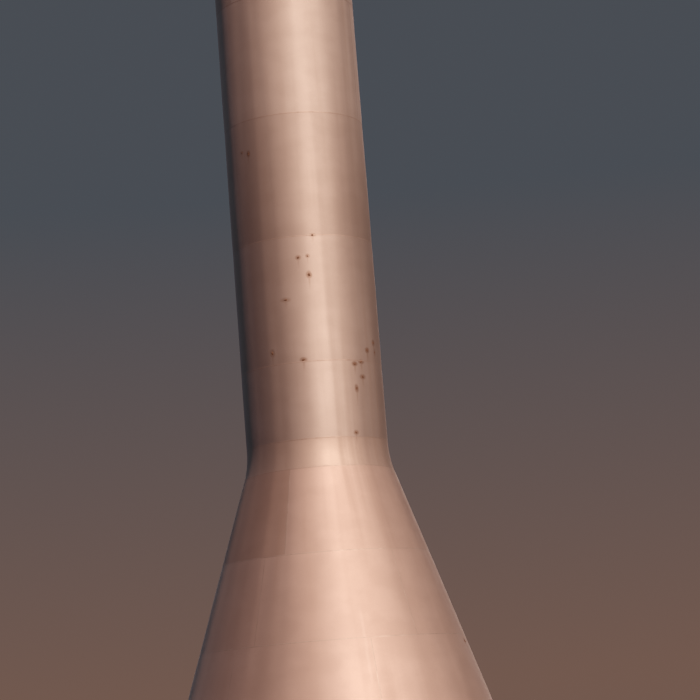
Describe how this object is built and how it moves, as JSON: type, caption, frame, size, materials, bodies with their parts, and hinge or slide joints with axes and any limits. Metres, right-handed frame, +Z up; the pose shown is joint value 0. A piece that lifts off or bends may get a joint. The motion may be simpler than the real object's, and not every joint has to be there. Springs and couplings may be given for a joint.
{
  "type": "water_tower",
  "caption": "Single-pedestal steel water tower: silver-painted bell base, plate-built tubular shaft, flared head and 10.3 m spherical tank with roof railing, 36.7 m tall.",
  "frame": {"origin": "The middle of the foundation ring's underside: ground level on the tower's own vertical axis.", "axes": "+Z is up. -Y is the side that the picture shows. +X is the side of the base door, and -X the side of the overflow outlet."},
  "size_m": [10.3, 10.3, 36.6869],
  "materials": {
    "silver_paint": "satin aluminium paint, weathered, with small rust spots",
    "concrete": "cast concrete, stained",
    "galvanised_steel": "dull zinc",
    "red_lens": "ribbed red moulding"
  },
  "bodies": {
    "root": {"base_plate": "silver_paint", "anchor_chairs": "silver_paint", "bell_course_1": "silver_paint", "bell_course_2": "silver_paint", "bell_course_3": "silver_paint", "bell_course_4": "silver_paint", "bell_knuckle": "silver_paint", "shaft_course_1": "silver_paint", "shaft_course_2": "silver_paint", "shaft_course_3": "silver_paint", "shaft_course_4": "silver_paint", "shaft_course_5": "silver_paint", "shaft_course_6": "silver_paint", "shaft_course_7": "silver_paint", "manway_neck": "silver_paint", "manway_cover": "silver_paint", "painters_rail": "silver_paint", "flare_knuckle": "silver_paint", "flare_cone": "silver_paint", "tank_bottom_bowl": "silver_paint", "tank_lower_zone": "silver_paint", "tank_equator_zone": "silver_paint", "tank_upper_zone": "silver_paint", "tank_roof": "silver_paint", "access_hatch_neck": "silver_paint", "access_hatch_cover": "silver_paint", "tank_manhole_neck": "silver_paint", "tank_manhole_cover": "silver_paint", "tank_vent_neck": "silver_paint", "tank_vent_cap": "silver_paint", "railing_quadrant_1": "silver_paint", "railing_quadrant_2": "silver_paint", "railing_quadrant_3": "silver_paint", "railing_quadrant_4": "silver_paint", "beacon_mast": "silver_paint", "door_surround": "silver_paint", "door_leaf": "silver_paint", "overflow_pipe": "silver_paint", "foundation_ring": "concrete", "door_handle": "galvanised_steel", "overflow_flap": "galvanised_steel", "beacon_base": "galvanised_steel", "beacon_lens": "red_lens"}
  },
  "joints": []
}
